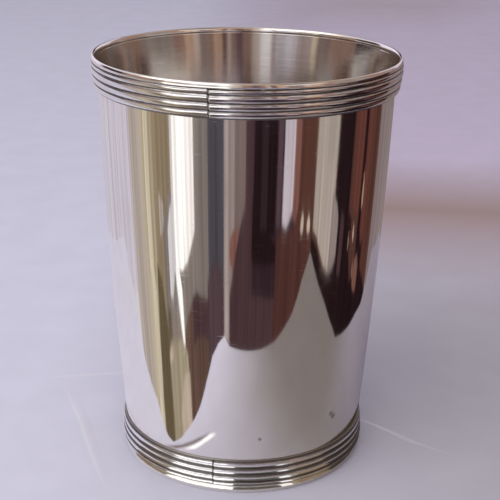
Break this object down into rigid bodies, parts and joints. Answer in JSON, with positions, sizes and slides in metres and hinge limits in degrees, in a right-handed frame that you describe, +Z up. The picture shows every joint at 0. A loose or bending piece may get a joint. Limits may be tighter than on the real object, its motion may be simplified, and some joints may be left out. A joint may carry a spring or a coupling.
{
  "type": "julep cup",
  "caption": "Tapering silver julep cup with a turned-out lip, drawn reeded bands round the rim and the foot, and a recessed base.",
  "frame": {"origin": "on the cup's axis, in the plane that the cup stands on", "axes": "+Z up the cup's axis, towards the mouth; -Y towards the side that the picture shows, with +X to its right"},
  "size_m": [0.0764, 0.0764, 0.1048],
  "materials": {
    "wall_silver": "mirror-polished silver with fine hairlines from cleaning",
    "base_silver": "polished silver, duller and more scratched where it rubs on the table",
    "band_silver": "polished silver with dark tarnish left in the grooves",
    "silver_solder": "satin grey silver solder, a little tarnished"
  },
  "bodies": {
    "root": {"cup_wall": "wall_silver", "base_pan": "base_silver", "rim_band": "band_silver", "foot_band": "band_silver", "rim_joint_solder": "silver_solder", "foot_joint_solder": "silver_solder", "rim_band_fillet": "silver_solder", "foot_band_fillet": "silver_solder", "base_fillet": "silver_solder"}
  },
  "joints": []
}
